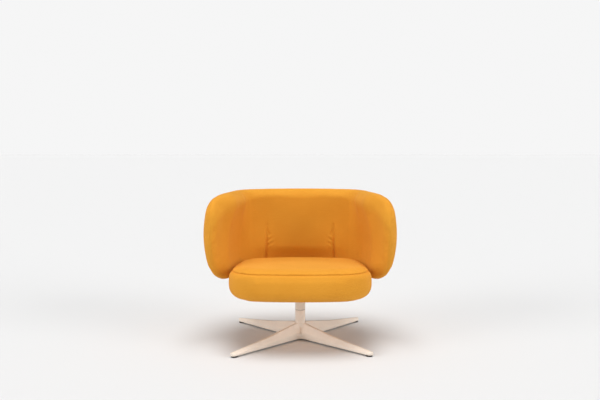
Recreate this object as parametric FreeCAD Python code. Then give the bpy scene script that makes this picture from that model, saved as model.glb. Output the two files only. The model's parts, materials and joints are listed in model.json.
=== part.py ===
import FreeCAD, Part
import math
import os

# Upholstered tub armchair that swivels on a short column and a cast four-star base.
# Millimetres. +Z is up, the chair faces -Y, and the swivel axis meets the floor at the origin.

V = FreeCAD.Vector
UP = V(0, 0, 1)

# Overall form of the tub
tub_top = 735.0              # floor to the top of the rim
tub_bottom = 307.0           # floor to the lower edge of the tub
tub_middle = 555.0           # height at which the arms reach furthest forward
rim_radius_back = 45.0       # roll along the top edge
rim_radius_arm = 58.0
hem_radius = 36.0            # roll along the lower edge
back_reach = 280.24          # swivel axis to the wall's reference line at the back
back_bend = 735.0            # plan radius across the back
back_turn = 22.0             # degrees that the back turns before the corner
corner_bend = 200.0          # plan radius round each rear corner
corner_turn = 54.0           # degrees
arm_bend = 1100.0            # plan radius along each arm
arm_turn = 18.0              # degrees
rim_out_back = 34.0          # rim roll outside the reference line, so the back leans
rim_out_arm = -52.7          # the arms lean in at the top
hem_out = -50.0              # hem roll inside the reference line
outer_bow_back = 620.0       # radius of the wall's outer face, seen in section
outer_bow_arm = 363.0
inner_bow_back = 900.0       # radius of the wall's inner face, seen in section
inner_bow_arm = 440.0
arm_sweep = 215.0            # depth of the rounded arm front, seen from the side
arm_square_high = 2.7        # how square that rounding is: 2 is an ellipse
arm_square_low = 2.07
nose_depth = 60.0            # length over which the arm's thickness rounds off
dart_place = 184.0           # sewn darts, each side of the middle
dart_low = 380.0
dart_high = 478.0
dart_width = 5.0
dart_depth = 6.0

# Seat cushion
seat_gap = 3.0               # between the cushion and the hem of the tub
seat_front = 360.0           # swivel axis to the front of the seat
front_bend = 1600.0          # plan radius of the front edge
front_corner = 168.0         # plan radius of the front corners
seat_low = 245.5             # underside of the cushion
seat_widest = 318.0          # height at which the cushion reaches its outline
seat_high = 399.0            # crown at the front
seat_low_reach = 78.0        # depth in from the side of the rounding underneath
seat_top_reach = 104.0       # and of the rounding on top
seat_square_low = 2.4        # how square each rounding is: 2 is an ellipse
seat_square_top = 4.0
seat_tip = 2.1               # degrees that the crown falls towards the back

# Plywood, foam and liner inside the seat
board_underside = 276.0
board_thick = 18.0
board_inset = 50.0
foam_top = 368.0
opening_radius = 146.0       # opening in the underside of the seat's upholstery
liner_thick = 2.0
liner_height = 246.5
pocket_gap = 0.3             # foam and fabric stand this far off hard pieces

# Plywood frame inside the tub
rail_thick = 18.0
rail_width = 34.0
low_rail_height = 324.0      # underside of the lower rail
top_rail_height = 679.0      # underside of the upper rail
rail_end = 188.0             # rails stop this far behind the arm's nose
rib_thick = 15.0
rib_depth = 34.0
rib_turns = (8.0, 48.0, 70.0)
former_thick = 12.0
former_out = -12.0
former_low = 395.0
former_high = 640.0
former_nose = 62.0
former_gap = 1.3             # between the panel's square edge and the last rib, where they meet

# Brackets that carry the tub
bracket_turns = (13.0, 79.5)  # plan headings of the bracket pairs
bracket_thick = 5.0
bracket_width = 56.0
bracket_foot_end = 108.0     # foot reaches this far in from the cushion's side
bracket_riser = 26.0         # riser stands this far in from the cushion's side
bolt_spread = 30.0
rail_screw_radius = 3.0
rail_screw_hole = 3.3
rail_screw_head = 5.0
rail_screw_head_high = 4.0
rail_screw_long = 15.0       # length of screw in the rail
screw_radius = 2.5
screw_head_radius = 5.0
screw_head_high = 2.5
screw_long = 13.0            # length of screw in the board

# Swivel plate under the seat
plate_size = 200.0
plate_thick = 4.0
plate_corner = 18.0
plate_pitch = 160.0
plate_bolt_radius = 4.0
plate_bolt_hole = 4.4
plate_bolt_head = 7.0
plate_bolt_head_high = 5.0
plate_bolt_long = 14.0       # length of bolt in the board
insert_radius = 6.0
insert_long = 14.0
socket_long = 40.0
socket_radius = 21.0

# Column
column_radius = 25.0
column_wall = 3.0
column_top = 144.0
column_foot = 17.0
column_floor_thick = 5.0
sleeve_wall = 2.0
ring_thick = 1.2
ring_inset = 0.8
turn_gap = 0.3
spindle_radius = 14.0
shoulder_radius = 19.0
shoulder_long = 8.0
bush_long = 26.0
low_bush_height = 40.0
top_bush_drop = 4.0          # top of the upper bush below the top of the column
running_gap = 0.05
stack_gap = 0.04
thrust_thick = 3.0
thrust_radius = 21.0
thrust_gap = 0.4
clip_thick = 1.2
clip_reach = 3.5
clip_groove = 1.0
tip_below_clip = 4.0
spindle_chamfer = 1.5

# Cast base
hub_top = 80.0
hub_radius = 29.5
leg_under = 8.0
# (distance from the axis, ridge height, crease height, half ridge width, half leg width)
leg_form = ((0.0, 84.0, 40.0, 8.0, 27.0), (210.0, 49.0, 27.0, 7.2, 21.0),
            (458.0, 21.0, 13.0, 6.0, 15.0))
leg_tip_round = 15.0
crotch_round = 34.0
crotch_height = 37.0
cast_wall = 5.0
bay_ends = ((46.0, 148.0), (152.0, 268.0), (272.0, 392.0))
base_turn = 1.4              # the base stands turned a little under the seat
leg_angles = tuple(45.0 + 90.0 * i + base_turn for i in range(4))

# Glides
glide_circle = 437.0
glide_radius = 16.0
glide_edge = 1.2
glide_pin_radius = 4.0
glide_pin_end = 17.0

cut_over = 1.0               # how far a cutting shape runs past the face it cuts


def cosd(angle):
    return math.cos(math.radians(angle))


def sind(angle):
    return math.sin(math.radians(angle))


def polar(radius, angle, z=0.0):
    return V(radius * cosd(angle), radius * sind(angle), z)


def blend(a, b, share):
    return a + (b - a) * share


def smooth(share):
    share = min(1.0, max(0.0, share))
    return share * share * (3 - 2 * share)


def cylinder(radius, low, high, x=0.0, y=0.0):
    return Part.makeCylinder(radius, high - low, V(x, y, low), UP)


def tube(outer, inner, low, high):
    return cylinder(outer, low, high).cut(cylinder(inner, low - cut_over, high + cut_over))


def cone(radius_low, radius_high, low, high):
    if radius_low == radius_high:
        return cylinder(radius_low, low, high)
    return Part.makeCone(radius_low, radius_high, high - low, V(0, 0, low), UP)


def polygon_face(points):
    return Part.Face(Part.makePolygon(points + points[:1]))


def prism(points, low, high):
    """A straight prism on a closed plan outline."""
    return polygon_face([V(p.x, p.y, low) for p in points]).extrude(V(0, 0, high - low))


def hexagon(radius, low, high):
    return prism([polar(radius, 60 * i) for i in range(6)], low, high)


def fused(shapes):
    whole = shapes[0]
    for shape in shapes[1:]:
        whole = whole.fuse(shape)
    return whole


def cut_all(shape, tools):
    for tool in tools:
        shape = shape.cut(tool)
    return shape


def at_corners(shape, pitch):
    """Four copies of a shape on a square pattern."""
    copies = []
    for x in (-pitch / 2, pitch / 2):
        for y in (-pitch / 2, pitch / 2):
            copies.append(shape.translated(V(x, y, 0)))
    return copies


def round_z(shape, angle):
    copy = shape.copy()
    copy.rotate(V(0, 0, 0), UP, angle)
    return copy


# Plan path of the tub's wall: back arc, corner arc and arm arc, each tangent to the next

def walk(start, heading, radius, turn):
    """End point of a left-hand arc."""
    dx = radius * (sind(heading + turn) - sind(heading))
    dy = -radius * (cosd(heading + turn) - cosd(heading))
    return V(start.x + dx, start.y + dy, 0)


def arc_centre(start, heading, radius):
    return V(start.x - radius * sind(heading), start.y + radius * cosd(heading), 0)


bent = back_turn + corner_turn
full_turn = bent + arm_turn
back_start = V(0, back_reach, 0)
corner_start = walk(back_start, 180, back_bend, back_turn)
arm_start = walk(corner_start, 180 + back_turn, corner_bend, corner_turn)
BACK = (arc_centre(back_start, 180, back_bend), back_bend)
CORNER = (arc_centre(corner_start, 180 + back_turn, corner_bend), corner_bend)
ARM = (arc_centre(arm_start, 180 + bent, arm_bend), arm_bend)
back_length = math.radians(back_turn) * back_bend
corner_length = math.radians(corner_turn) * corner_bend
arm_length = math.radians(arm_turn) * arm_bend
half_length = back_length + corner_length + arm_length


def arc_of(turn):
    """Centre and radius of the plan arc on which the wall has turned this far from the back."""
    if turn <= back_turn:
        return BACK
    if turn <= bent:
        return CORNER
    return ARM


def length_at(turn):
    """Distance along the path from the middle of the back."""
    back = math.radians(min(turn, back_turn)) * back_bend
    corner = math.radians(min(max(turn - back_turn, 0), corner_turn)) * corner_bend
    arm = math.radians(max(turn - bent, 0)) * arm_bend
    return back + corner + arm


def turn_at(length):
    if length <= back_length:
        return math.degrees(length / back_bend)
    if length <= back_length + corner_length:
        return back_turn + math.degrees((length - back_length) / corner_bend)
    return bent + math.degrees((length - back_length - corner_length) / arm_bend)


def outward(turn, side):
    """Unit vector out of the tub where it has turned this far; side is -1 left and 1 right."""
    return V(side * sind(turn), cosd(turn), 0)


def wall_point(turn, side, out, z=0.0):
    centre, radius = arc_of(turn)
    facing = outward(turn, side)
    return V(-side * centre.x + facing.x * (radius + out), centre.y + facing.y * (radius + out), z)


def placed(shape, turn, side):
    """A shape drawn with X outward, Y along the wall and Z up, moved to its place on the path."""
    x_dir = outward(turn, side)
    y_dir = UP.cross(x_dir)
    origin = wall_point(turn, side, 0)
    frame = FreeCAD.Matrix(
        x_dir.x, y_dir.x, 0, origin.x,
        x_dir.y, y_dir.y, 0, origin.y,
        0, 0, 1, 0,
        0, 0, 0, 1)
    return shape.transformed(frame)


# Section of the tub's wall: two rolls joined by a bowed outer face and a bowed inner face

def apex(a, reach_a, b, reach_b):
    """The point at two given distances from a and b, on the inner side of the wall."""
    span = b - a
    gap = span.Length
    along = (reach_a ** 2 - reach_b ** 2 + gap ** 2) / (2 * gap)
    aside = math.sqrt(max(reach_a ** 2 - along ** 2, 0.0))
    unit = span * (1 / gap)
    inward = V(-unit.y, unit.x, 0)
    if inward.x > 0:
        inward = inward * -1
    return a + unit * along + inward * aside


def unit_to(a, b):
    step = b - a
    return step * (1 / step.Length)


def round_off(from_nose, depth, square=2.0):
    """Height of a rounded end, as a share, at a distance from its tip."""
    share = max(0.0, 1 - from_nose / depth)
    return (1 - share ** square) ** (1 / square)


def wall_frame(turn, from_nose=half_length):
    """Roll centres and radii and the eyes of the outer and inner faces, in (outward, height)."""
    arm_share = smooth(turn / bent)
    thin = round_off(from_nose, nose_depth)
    ease_high = round_off(from_nose, arm_sweep, arm_square_high)
    ease_low = round_off(from_nose, arm_sweep, arm_square_low)
    roll_top = blend(rim_radius_back, rim_radius_arm, arm_share) * thin
    roll_low = hem_radius * thin
    rim_out = blend(rim_out_back, rim_out_arm, arm_share)
    rim = V(rim_out * ease_high, blend(tub_middle, tub_top, ease_high) - roll_top, 0)
    hem = V(hem_out * ease_low, blend(tub_middle, tub_bottom, ease_low) + roll_low, 0)
    outer = blend(outer_bow_back, outer_bow_arm, arm_share)
    inner = blend(inner_bow_back, inner_bow_arm, arm_share)
    out_eye = apex(rim, outer - roll_top, hem, outer - roll_low)
    in_eye = apex(rim, inner + roll_top, hem, inner + roll_low)
    return rim, hem, roll_top, roll_low, outer, inner, out_eye, in_eye


def wall_section(turn, from_nose):
    """Six tangent arcs as (start, middle, end) points of (outward, height)."""
    rim, hem, roll_top, roll_low, outer, inner, out_eye, in_eye = wall_frame(turn, from_nose)
    rim_outer = rim + unit_to(out_eye, rim) * roll_top
    hem_outer = hem + unit_to(out_eye, hem) * roll_low
    rim_inner = rim + unit_to(rim, in_eye) * roll_top
    hem_inner = hem + unit_to(hem, in_eye) * roll_low
    crest = rim + V(0, roll_top, 0)
    keel = hem - V(0, roll_low, 0)

    def on_roll(centre, radius, a, b):
        return centre + unit_to(centre, (a + b) * 0.5) * radius

    outer_mid = out_eye + unit_to(out_eye, (rim_outer + hem_outer) * 0.5) * outer
    inner_mid = in_eye + unit_to(in_eye, (rim_inner + hem_inner) * 0.5) * inner
    return [
        (hem_outer, outer_mid, rim_outer),
        (rim_outer, on_roll(rim, roll_top, rim_outer, crest), crest),
        (crest, on_roll(rim, roll_top, crest, rim_inner), rim_inner),
        (rim_inner, inner_mid, hem_inner),
        (hem_inner, on_roll(hem, roll_low, hem_inner, keel), keel),
        (keel, on_roll(hem, roll_low, keel, hem_outer), hem_outer),
    ]


def section_wire(turn, side, from_nose):
    def place(p):
        return wall_point(turn, side, p.x, p.y)
    arcs = [Part.Arc(*(place(p) for p in arc)).toShape() for arc in wall_section(turn, from_nose)]
    return Part.Wire(arcs)


def half_stations():
    """(turn, distance from the nose) from the middle of the back, closer at the nose."""
    sweep_start = half_length - arm_sweep
    places = [back_length * i / 3 for i in range(3)]
    places += [back_length + corner_length * i / 5 for i in range(5)]
    places += [back_length + corner_length, sweep_start]
    for share in (0.35, 0.65, 0.88):
        places.append(blend(sweep_start, half_length - nose_depth * 0.5, share))
    for angle in (42.0, 62.0, 78.0, 87.5):
        places.append(half_length - nose_depth * (1 - sind(angle)))
    return [(turn_at(s), half_length - s) for s in places]


def tub_form():
    """The outer form of the whole tub, one loft from the left nose round to the right nose."""
    half = half_stations()
    wires = [section_wire(turn, -1, from_nose) for turn, from_nose in reversed(half)]
    wires += [section_wire(turn, 1, from_nose) for turn, from_nose in half[1:]]
    return Part.makeLoft(wires, True, True)


def face_out(turn, z, outer_face):
    """How far out the wall's outer or inner face stands at one height."""
    _, _, _, _, outer, inner, out_eye, in_eye = wall_frame(turn)
    if outer_face:
        return out_eye.x + math.sqrt(outer ** 2 - (z - out_eye.y) ** 2)
    return in_eye.x + math.sqrt(inner ** 2 - (z - in_eye.y) ** 2)


def wall_middle(turn, z):
    return 0.5 * (face_out(turn, z, True) + face_out(turn, z, False))


# Plywood frame inside the tub

def rail_solid(low, offsets, grow=0.0):
    """A flat rail in five bends that follows the wall; offsets gives its middle line."""
    end = turn_at(half_length - rail_end + grow)
    marks = ((0.0, back_turn), (back_turn, bent), (bent, end))

    def line(shift):
        arcs = []
        last = wall_point(0.0, 1, offsets(0.0) + shift, low - grow)
        for a, b in marks:
            middle, tip = [wall_point(t, 1, offsets(t) + shift, low - grow)
                           for t in (0.5 * (a + b), b)]
            arcs.append((last, middle, tip))
            last = tip
        mirrored = [tuple(V(-p.x, p.y, p.z) for p in reversed(arc)) for arc in reversed(arcs)]
        joint = (mirrored[-1][0], arcs[0][0], arcs[0][2])
        return mirrored[:-1] + [joint] + arcs[1:]

    outer = line(rail_width / 2 + grow)
    inner = [tuple(reversed(arc)) for arc in reversed(line(-rail_width / 2 - grow))]
    edges = [Part.Arc(*arc).toShape() for arc in outer]
    edges.append(Part.LineSegment(outer[-1][2], inner[0][0]).toShape())
    edges += [Part.Arc(*arc).toShape() for arc in inner]
    edges.append(Part.LineSegment(inner[-1][2], outer[0][0]).toShape())
    return Part.Face(Part.Wire(edges)).extrude(V(0, 0, rail_thick + 2 * grow))


def low_rail_out(turn):
    return hem_out


def top_rail_out(turn):
    return blend(rim_out_back, rim_out_arm, smooth(turn / bent))


def rib_solid(turn, side, grow=0.0):
    """An upright former cut from sheet, following the bow of the wall between the rails."""
    low = low_rail_height + rail_thick
    high = top_rail_height
    half = rib_depth / 2 + grow
    heights = (low, 0.5 * (low + high), high)
    outer = [V(wall_middle(turn, z) + half, 0, z) for z in heights]
    inner = [V(wall_middle(turn, z) - half, 0, z) for z in reversed(heights)]
    edges = [Part.Arc(*outer).toShape(), Part.LineSegment(outer[2], inner[0]).toShape(),
             Part.Arc(*inner).toShape(), Part.LineSegment(inner[2], outer[0]).toShape()]
    width = rib_thick + 2 * grow
    solid = Part.Face(Part.Wire(edges)).extrude(V(0, width, 0)).translated(V(0, -width / 2, 0))
    return placed(solid, turn, side)


def former_solid(side, grow=0.0):
    """The D-shaped panel that stiffens the front of one arm."""
    rear = rail_end - former_gap
    turn = turn_at(half_length - 0.5 * (rear + former_nose))
    half = 0.5 * (rear - former_nose)
    middle = 0.5 * (former_low + former_high)
    front = side * -1 * (half + grow)
    back = side * (half + grow)
    low = V(0, back, former_low - grow)
    high = V(0, back, former_high + grow)
    low_turn = V(0, back + (front - back) * 0.35, former_low - grow)
    high_turn = V(0, back + (front - back) * 0.35, former_high + grow)
    tip = V(0, front, middle)
    edges = [Part.LineSegment(high, low).toShape(), Part.LineSegment(low, low_turn).toShape(),
             Part.Arc(low_turn, tip, high_turn).toShape(),
             Part.LineSegment(high_turn, high).toShape()]
    width = former_thick + 2 * grow
    solid = Part.Face(Part.Wire(edges)).extrude(V(width, 0, 0))
    solid = solid.translated(V(former_out - width / 2, 0, 0))
    return placed(solid, turn, side)


def former_rib(side, grow=0.0):
    """The last rib, cleated to the arm panel."""
    return rib_solid(turn_at(half_length - rail_end - rib_thick / 2), side, grow)


# Seat outline: the tub's hem pulled in, closed by two front corners and a bowed front edge

seat_out = hem_out - hem_radius - seat_gap
front_eye = V(0, -seat_front + front_bend, 0)


def corner_eye(turn):
    return wall_point(turn, 1, seat_out - front_corner)


def find_corner():
    """The turn at which the front corner leaves the side and still meets the front edge."""
    low, high = bent, full_turn
    for _ in range(60):
        turn = 0.5 * (low + high)
        if (corner_eye(turn) - front_eye).Length > front_bend - front_corner:
            high = turn
        else:
            low = turn
    return 0.5 * (low + high)


side_end = find_corner()


def seat_points(inset):
    """Arcs of the right half of the outline, from the back to the middle of the front."""
    eye = corner_eye(side_end)
    start = math.atan2(cosd(side_end), sind(side_end))
    to_front = eye - front_eye
    end = math.atan2(to_front.y, to_front.x)
    marks = ((0.0, back_turn), (back_turn, bent), (bent, side_end))
    arcs = []
    last = wall_point(0.0, 1, seat_out - inset)
    for a, b in marks:
        arcs.append([last] + [wall_point(t, 1, seat_out - inset) for t in (0.5 * (a + b), b)])
        last = arcs[-1][-1]

    def swing(centre, radius, angle):
        return V(centre.x + radius * math.cos(angle), centre.y + radius * math.sin(angle), 0)

    for centre, radius, a, b in ((eye, front_corner - inset, start, end),
                                 (front_eye, front_bend - inset, end, -math.pi / 2)):
        arcs.append([swing(centre, radius, t) for t in (a, 0.5 * (a + b), b)])
    return arcs


def seat_wire(inset, z):
    right = seat_points(inset)
    left = [[V(-p.x, p.y, 0) for p in reversed(arc)] for arc in reversed(right)]
    points = right + left
    merged = [(left[-1][0], V(0, right[0][0].y, 0), right[0][2])]
    merged += [tuple(arc) for arc in right[1:4]]
    merged.append((right[4][0], V(0, -seat_front + inset, 0), left[0][2]))
    merged += [tuple(arc) for arc in left[1:4]]
    edges = []
    for start, middle, end in merged:
        edges.append(Part.Arc(V(start.x, start.y, z), V(middle.x, middle.y, z),
                              V(end.x, end.y, z)).toShape())
    return Part.Wire(edges)


def seat_prism(inset, low, high):
    return Part.Face(seat_wire(inset, low)).extrude(V(0, 0, high - low))


def seat_ring(angle, top):
    """One level outline of the cushion, then tipped about the front with its height."""
    high, reach, square = ((seat_high, seat_top_reach, seat_square_top) if top
                           else (seat_low, seat_low_reach, seat_square_low))
    inset = reach * (1 - cosd(angle) ** (2 / square))
    z = blend(seat_widest, high, sind(angle) ** (2 / square))
    ring = seat_wire(inset, z)
    share = (z - seat_low) / (seat_high - seat_low)
    ring.rotate(V(0, -seat_front, z), V(1, 0, 0), -seat_tip * share)
    return ring


def seat_body():
    rings = [seat_ring(angle, False) for angle in (90.0, 68.0, 50.0, 34.0, 18.0)]
    rings += [seat_ring(angle, True) for angle in (0.0, 11.0, 20.0, 30.0, 42.0, 57.0, 73.0, 90.0)]
    return Part.makeLoft(rings, True, True)


board_top = board_underside + board_thick
riser_out = seat_out - bracket_riser
foot_out = seat_out - bracket_foot_end
flange_top = low_rail_height
bolt_places = (-bolt_spread / 2, bolt_spread / 2)
foot_screw_out = seat_out - board_inset - 34.0


def bracket_boxes(grow=0.0):
    """Foot, riser and flange of one bracket, with X outward."""
    width = bracket_width + 2 * grow

    def box(out_a, out_b, low, high):
        solid = Part.makeBox(out_b - out_a + 2 * grow, width, high - low + 2 * grow)
        return solid.translated(V(out_a - grow, -width / 2, low - grow))

    return [
        box(foot_out, riser_out, board_top, board_top + bracket_thick),
        box(riser_out - bracket_thick, riser_out, board_top, flange_top),
        box(riser_out - bracket_thick, hem_out + rail_width / 2, flange_top - bracket_thick,
            flange_top),
    ]


def local_cylinder(radius, low, high, out, along):
    return cylinder(radius, low, high, out, along)


def for_brackets(make):
    """One shape per bracket place, drawn with X outward."""
    return [placed(make(), turn, side) for turn in bracket_turns for side in (-1, 1)]


def bracket():
    solid = fused(bracket_boxes()).removeSplitter()
    for along in bolt_places:
        solid = solid.cut(cylinder(rail_screw_hole, flange_top - 20, flange_top + 1, hem_out,
                                   along))
        solid = solid.cut(cylinder(screw_radius, board_top - 1, board_top + 20, foot_screw_out,
                                   along))
    return solid


def bracket_room():
    """Space the upholstery leaves for a bracket with its screws."""
    room = fused(bracket_boxes(pocket_gap))
    heads_low = flange_top - bracket_thick - rail_screw_head_high - pocket_gap
    across = bolt_spread + 2 * (rail_screw_head + pocket_gap)
    under = Part.makeBox(2 * (rail_screw_head + pocket_gap), across, flange_top - heads_low,
                         V(hem_out - rail_screw_head - pocket_gap, -across / 2, heads_low))
    across = bolt_spread + 2 * (screw_head_radius + pocket_gap)
    over = Part.makeBox(2 * (screw_head_radius + pocket_gap), across,
                        bracket_thick + screw_head_high + pocket_gap,
                        V(foot_screw_out - screw_head_radius - pocket_gap, -across / 2, board_top))
    return room.fuse(under).fuse(over)


def rail_screws():
    shapes = []
    seat = flange_top - bracket_thick
    for along in bolt_places:
        head = hexagon(rail_screw_head, seat - rail_screw_head_high, seat)
        shank = cylinder(rail_screw_radius, seat, low_rail_height + rail_screw_long)
        shapes.append(head.fuse(shank).translated(V(hem_out, along, 0)))
    return Part.makeCompound(shapes)


def foot_screws():
    top = board_top + bracket_thick
    shapes = []
    for along in bolt_places:
        head = hexagon(screw_head_radius, top, top + screw_head_high)
        shank = cylinder(screw_radius, board_top - screw_long, top)
        shapes.append(head.fuse(shank).translated(V(foot_screw_out, along, 0)))
    return Part.makeCompound(shapes)


# Seat pieces

def plate_bolt():
    low = board_underside - plate_thick
    head = hexagon(plate_bolt_head, low - plate_bolt_head_high, low)
    return head.fuse(cylinder(plate_bolt_radius, low, board_underside + plate_bolt_long))


def plate_insert():
    """Threaded insert let into the underside of the board."""
    return tube(insert_radius, plate_bolt_radius, board_underside, board_underside + insert_long)


def seat_board():
    board = seat_prism(board_inset, board_underside, board_top)
    holes = at_corners(cylinder(insert_radius, board_underside - 1, board_underside + insert_long),
                       plate_pitch)
    for along in bolt_places:
        hole = cylinder(screw_radius, board_top - screw_long, board_top + 1, foot_screw_out, along)
        holes += for_brackets(lambda: hole)
    return cut_all(board, holes)


def seat_foam():
    return cut_all(seat_prism(board_inset, board_top, foam_top), for_brackets(bracket_room))


def seat_pad():
    inner = seat_prism(board_inset - pocket_gap, board_underside - pocket_gap,
                       foam_top + pocket_gap)
    opening = cylinder(opening_radius, 200, board_underside)
    return cut_all(seat_body(), [inner, opening] + for_brackets(bracket_room))


def swivel_plate():
    half = plate_size / 2
    low = board_underside - plate_thick
    plate = Part.makeBox(plate_size, plate_size, plate_thick, V(-half, -half, low))
    uprights = [e for e in plate.Edges if abs(e.Vertexes[0].Z - e.Vertexes[-1].Z) > 1]
    plate = plate.makeFillet(plate_corner, uprights)
    holes = at_corners(cylinder(plate_bolt_hole, low - 1, board_underside + 1), plate_pitch)
    return cut_all(plate, holes)


plate_low = board_underside - plate_thick
socket_low = plate_low - socket_long


def plate_socket():
    """Steel socket welded under the plate, with the spindle pressed into it."""
    return tube(socket_radius, spindle_radius, socket_low, plate_low)


# Column and swivel

thrust_low = column_top - top_bush_drop
shoulder_low = thrust_low + thrust_thick + stack_gap
clip_high = low_bush_height - stack_gap
spindle_low = clip_high - clip_thick - tip_below_clip


def spindle():
    shaft = cylinder(spindle_radius, spindle_low, plate_low)
    shaft = shaft.makeChamfer(spindle_chamfer, [e for e in shaft.Edges
                                                if e.BoundBox.ZMax < spindle_low + 0.1])
    shoulder = cylinder(shoulder_radius, shoulder_low, shoulder_low + shoulder_long)
    groove = tube(spindle_radius + 1, spindle_radius - clip_groove, clip_high - clip_thick,
                  clip_high)
    return shaft.fuse(shoulder).cut(groove)


def spindle_clip():
    ring = tube(spindle_radius - clip_groove + clip_reach, spindle_radius - clip_groove,
                clip_high - clip_thick, clip_high)
    mouth = Part.makeBox(20, 9, 4, V(0, -4.5, clip_high - 3))
    return ring.cut(mouth)


def bush(low):
    return tube(column_radius - column_wall, spindle_radius + running_gap, low, low + bush_long)


def column_tube():
    """A drawn tube with a closed foot, pressed into the hub."""
    bore = cylinder(column_radius - column_wall, column_foot + column_floor_thick, column_top + 1)
    return cylinder(column_radius, column_foot, column_top).cut(bore)


def column_ring():
    outer = column_radius - ring_inset
    return tube(outer, column_radius - column_wall, column_top, column_top + ring_thick)


def column_sleeve():
    return tube(column_radius, column_radius - sleeve_wall, column_top + ring_thick + turn_gap,
                plate_low)


# Cast base

def leg_at(distance, wall=0.0):
    """Section of a leg at a distance from the axis, or of the hollow inside its wall."""
    for near, far in zip(leg_form, leg_form[1:]):
        if distance <= far[0]:
            break
    share = (distance - near[0]) / (far[0] - near[0])
    _, ridge, crease, half_ridge, half_leg = [blend(a, b, share) for a, b in zip(near, far)]
    floor = leg_under
    if wall:
        ridge, half_leg, half_ridge = ridge - wall, half_leg - wall, half_ridge - wall * 0.45
        crease = crease - wall * 0.5
        floor = leg_under - cut_over
    points = [(-half_leg, floor), (half_leg, floor), (half_leg, crease), (half_ridge, ridge),
              (-half_ridge, ridge), (-half_leg, crease)]
    return [V(distance, y, z) for y, z in points]


def leg_piece(start, end, wall=0.0):
    wires = [Part.makePolygon(p + p[:1]) for p in (leg_at(start, wall), leg_at(end, wall))]
    return Part.makeLoft(wires, True, True)


def leg_solid():
    bend = leg_form[1][0]
    tip = leg_form[-1][0]
    whole = leg_piece(0.0, bend).fuse(leg_piece(bend, tip))
    eye = tip - leg_tip_round
    keep = Part.makeBox(eye, 80, 120, V(0, -40, 0)).fuse(cylinder(leg_tip_round, 0, 120, eye, 0))
    return whole.common(keep)


def leg_hollows():
    hollows = []
    bend = leg_form[1][0]
    for start, end in bay_ends:
        marks = [start] + [bend] * (start < bend < end) + [end]
        for a, b in zip(marks, marks[1:]):
            hollows.append(leg_piece(a, b, cast_wall))
    return hollows


def crotch():
    """Rounded web between two neighbouring legs, drawn between the legs at 0 and 90 degrees."""
    half = leg_form[0][4] - 2.0
    reach = half + crotch_round
    block = Part.makeBox(reach, reach, crotch_height - leg_under, V(0, 0, leg_under))
    return block.cut(cylinder(crotch_round, 0, 100, reach, reach))


def base_star():
    legs = [round_z(leg_solid(), angle) for angle in leg_angles]
    webs = [round_z(crotch(), angle) for angle in leg_angles]
    hub = cylinder(hub_radius, leg_under, hub_top)
    star = fused(legs + webs + [hub])
    above = cylinder(120, hub_top, 140)
    bore = cylinder(column_radius, column_foot, column_top)
    relief = cylinder(column_radius - column_wall, 0, column_foot + 1)
    hollows = [round_z(hollow, angle) for angle in leg_angles for hollow in leg_hollows()]
    holes = [cylinder(glide_pin_radius, 0, glide_pin_end, p.x, p.y) for p in glide_places()]
    return cut_all(star, [above, bore, relief] + hollows + holes)


def glide_places():
    return [polar(glide_circle, angle) for angle in leg_angles]


def glide_foot():
    """A moulded glide with its own pin, pushed into the tip of a leg."""
    foot = cylinder(glide_radius, 0, leg_under)
    foot = foot.makeChamfer(glide_edge, [e for e in foot.Edges if e.BoundBox.ZMax < 0.1])
    return foot.fuse(cylinder(glide_pin_radius, leg_under - 1, glide_pin_end))


def at_glides(shape):
    return Part.makeCompound([shape.translated(V(p.x, p.y, 0)) for p in glide_places()])


# Tub pieces

def dart(side):
    """A narrow groove where the inner cover is sewn down, pointed at its upper end."""
    turn = math.degrees(math.asin(dart_place / (back_bend - 40)))
    points = []
    for z, depth in ((dart_low, dart_depth), (0.5 * (dart_low + dart_high), dart_depth),
                     (dart_high, 0.0)):
        points.append((face_out(turn, z, False) + depth, z))
    outline = [V(points[0][0] - 30, 0, dart_low - 30), V(points[0][0] - 2, 0, dart_low - 30)]
    outline += [V(x, 0, z) for x, z in points]
    outline += [V(points[2][0] - 30, 0, dart_high)]
    solid = polygon_face(outline).extrude(V(0, dart_width, 0)).translated(V(0, -dart_width / 2, 0))
    return placed(solid, turn, side)


def tub_frame(grow=0.0):
    shapes = [rail_solid(low_rail_height, low_rail_out, grow),
              rail_solid(top_rail_height, top_rail_out, grow)]
    for side in (-1, 1):
        shapes += [rib_solid(turn, side, grow) for turn in rib_turns]
        shapes += [former_rib(side, grow), former_solid(side, grow)]
    return shapes


def tub_pad():
    rooms = tub_frame(pocket_gap) + for_brackets(bracket_room) + [dart(-1), dart(1)]
    return cut_all(tub_form(), rooms)


def low_rail():
    rail = rail_solid(low_rail_height, low_rail_out)
    holes = []
    for along in bolt_places:
        hole = cylinder(rail_screw_radius, low_rail_height - 1, low_rail_height + rail_screw_long,
                        hem_out, along)
        holes += for_brackets(lambda: hole)
    return cut_all(rail, holes)


def bottom_liner():
    return tube(opening_radius, column_radius + 1.0, liner_height, liner_height + liner_thick)


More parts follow.
